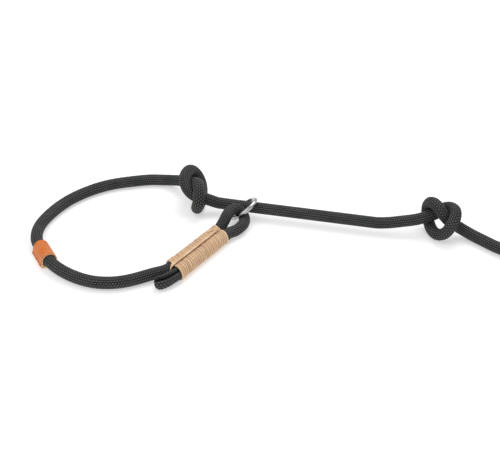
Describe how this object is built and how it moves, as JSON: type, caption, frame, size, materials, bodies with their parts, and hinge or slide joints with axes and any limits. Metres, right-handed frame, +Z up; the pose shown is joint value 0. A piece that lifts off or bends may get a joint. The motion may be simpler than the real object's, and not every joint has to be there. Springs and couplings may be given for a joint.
{
  "type": "rope slip lead",
  "caption": "Braided rope slip lead: a noose with a sliding steel ring, knots, whipped eyes, a stitched leather label, and a coiled line to a hand loop.",
  "frame": {"origin": "middle of the object's box in X and Y, on the ground that the rope lies on", "axes": "+X from the noose towards the hand loop, +Y away from a viewer in front of the noose, +Z up"},
  "size_m": [0.8987, 0.2228, 0.0409],
  "materials": {
    "rope": "black braided cord",
    "lace": "pale tan flat lace",
    "leather": "orange tan leather",
    "steel": "bright plated steel"
  },
  "bodies": {
    "lead": {"stop_knot": "rope", "running_line": "rope", "limit_knot": "rope", "trailing_line": "rope", "stored_coil": "rope", "handle_line": "rope", "handle_whipping": "lace", "handle_lashing": "lace", "handle_rope": "rope", "handle_rope_end": "rope"},
    "eye": {"eye_rope": "rope", "eye_whipping": "lace", "eye_lashing": "lace", "eye_rope_end": "rope"},
    "ring": {"slip_ring": "steel"},
    "noose_1": {"noose_rope_1": "rope"},
    "noose_2": {"noose_rope_2": "rope"},
    "noose_3": {"noose_rope_3": "rope"},
    "noose_4": {"noose_rope_4": "rope"},
    "noose_5": {"noose_rope_5": "rope"},
    "noose_6": {"noose_rope_6": "rope"},
    "noose_7": {"noose_rope_7": "rope"},
    "noose_8": {"noose_rope_8": "rope"},
    "noose_9": {"noose_rope_9": "rope"},
    "label": {"leather_label": "leather"}
  },
  "joints": [
    {"name": "noose_slide", "type": "slide", "parent": "lead", "child": "eye", "axis": [0.9715, -0.2371, 0], "range_m": [-0.01, 0.08]},
    {"name": "ring_turn", "type": "hinge", "parent": "eye", "child": "ring", "pos_m": [-0.2211, 0.0297, 0.0124], "axis": [0.589, -0.196, -0.784], "continuous": true},
    {"name": "noose_bend_1", "type": "hinge", "parent": "eye", "child": "noose_1", "pos_m": [-0.30203, -0.08516, 0.007], "axis": [0, 0, 1], "range_deg": [-6, 2]},
    {"name": "noose_bend_2", "type": "hinge", "parent": "noose_1", "child": "noose_2", "pos_m": [-0.34253, -0.1024, 0.007], "axis": [0, 0, 1], "range_deg": [-2, 7]},
    {"name": "noose_bend_3", "type": "hinge", "parent": "noose_2", "child": "noose_3", "pos_m": [-0.38515, -0.09662, 0.007], "axis": [0, 0, 1], "range_deg": [-3, 11]},
    {"name": "noose_bend_4", "type": "hinge", "parent": "noose_3", "child": "noose_4", "pos_m": [-0.41921, -0.06933, 0.007], "axis": [0, 0, 1], "range_deg": [-2, 9]},
    {"name": "noose_bend_5", "type": "hinge", "parent": "noose_4", "child": "noose_5", "pos_m": [-0.43935, -0.0302, 0.007], "axis": [0, 0, 1], "range_deg": [-2, 7]},
    {"name": "noose_bend_6", "type": "hinge", "parent": "noose_5", "child": "noose_6", "pos_m": [-0.44031, 0.01324, 0.007], "axis": [0, 0, 1], "range_deg": [-2, 5]},
    {"name": "noose_bend_7", "type": "hinge", "parent": "noose_6", "child": "noose_7", "pos_m": [-0.422, 0.05316, 0.007], "axis": [0, 0, 1], "range_deg": [-5, 2]},
    {"name": "noose_bend_8", "type": "hinge", "parent": "noose_7", "child": "noose_8", "pos_m": [-0.39127, 0.08442, 0.007], "axis": [0, 0, 1], "range_deg": [-6, 2]},
    {"name": "noose_bend_9", "type": "hinge", "parent": "noose_8", "child": "noose_9", "pos_m": [-0.35079, 0.10105, 0.007], "axis": [0, 0, 1], "range_deg": [-12, 3]},
    {"name": "label_turn", "type": "hinge", "parent": "noose_4", "child": "label", "pos_m": [-0.42928, -0.04976, 0.0085], "axis": [-0.4576, 0.8891, 0], "range_deg": [-10, 170]}
  ],
  "couplings": [
    {"joint": "noose_bend_1", "follows": "noose_slide", "rad_per_m": -1.02},
    {"joint": "noose_bend_2", "follows": "noose_slide", "rad_per_m": 1.26},
    {"joint": "noose_bend_3", "follows": "noose_slide", "rad_per_m": 2},
    {"joint": "noose_bend_4", "follows": "noose_slide", "rad_per_m": 1.72},
    {"joint": "noose_bend_5", "follows": "noose_slide", "rad_per_m": 1.18},
    {"joint": "noose_bend_6", "follows": "noose_slide", "rad_per_m": 0.8},
    {"joint": "noose_bend_7", "follows": "noose_slide", "rad_per_m": -0.8},
    {"joint": "noose_bend_8", "follows": "noose_slide", "rad_per_m": -1.03},
    {"joint": "noose_bend_9", "follows": "noose_slide", "rad_per_m": -2.39}
  ]
}
